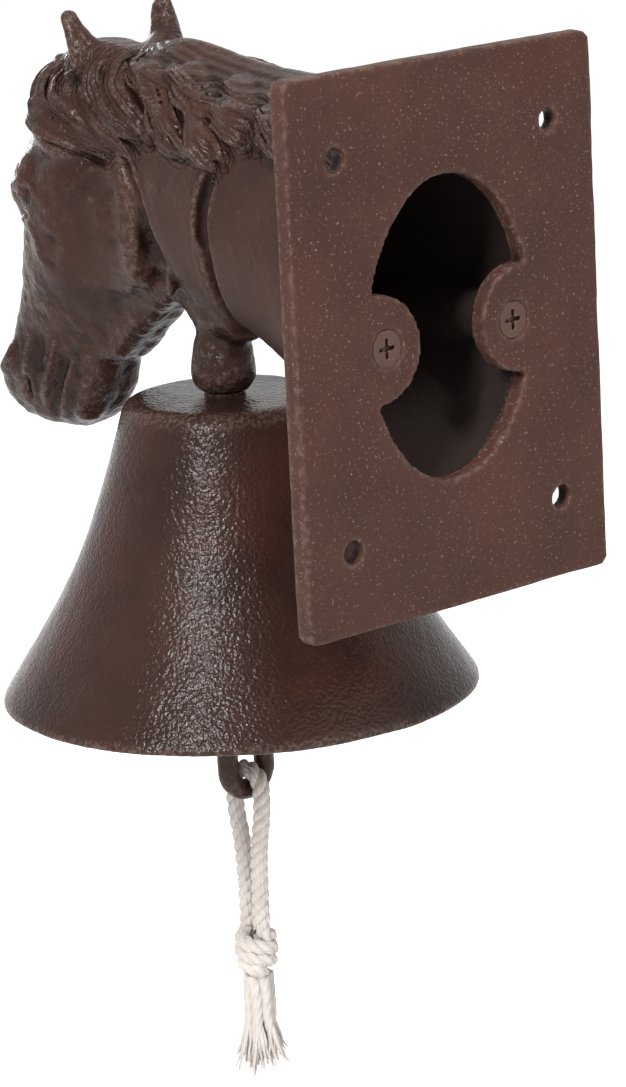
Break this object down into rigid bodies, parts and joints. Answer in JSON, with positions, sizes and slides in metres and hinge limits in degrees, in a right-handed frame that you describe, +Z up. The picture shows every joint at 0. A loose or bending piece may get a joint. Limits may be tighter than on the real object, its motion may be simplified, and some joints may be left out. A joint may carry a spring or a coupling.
{
  "type": "wall bell",
  "caption": "Cast wall bell: horse head on a flat back plate, flared bell bolted under the neck, swinging clapper with a knotted cotton pull cord.",
  "frame": {"origin": "middle of the back plate's back face, at the centre of the four wall holes", "axes": "+Y into the wall, out of the plate's back; +Z up; +X to the horse's left; the horse looks along -Y"},
  "size_m": [0.107, 0.1504, 0.2439],
  "materials": {
    "plate_paint": "satin brown paint on sand-cast iron",
    "head_paint": "satin to glossy brown paint on sand-cast iron",
    "bell_paint": "glossy brown paint with an orange-peel grain",
    "screw_paint": "brown paint over steel screws",
    "clapper_paint": "dark brown paint",
    "hardware": "dull zinc",
    "cotton": "undyed twisted cotton"
  },
  "bodies": {
    "bracket": {"back_plate": "plate_paint", "horse_head": "head_paint", "plate_screw_left": "screw_paint", "plate_screw_right": "screw_paint", "bell_spacer": "hardware", "bell": "bell_paint", "hanger_bolt": "hardware", "hanger_washer": "hardware", "hanger_nut": "hardware"},
    "link": {"clapper_link": "hardware"},
    "clapper": {"clapper": "clapper_paint", "pull_cord": "cotton", "cord_knot": "cotton", "cord_tails": "cotton"}
  },
  "joints": [
    {"name": "link_swing", "type": "hinge", "parent": "bracket", "child": "link", "pos_m": [0, -0.074, -0.0381], "axis": [0, 1, 0], "range_deg": [-10, 10]},
    {"name": "clapper_swing", "type": "hinge", "parent": "link", "child": "clapper", "pos_m": [0, -0.074, -0.0484], "axis": [1, 0, 0], "range_deg": [-43, 43]}
  ]
}
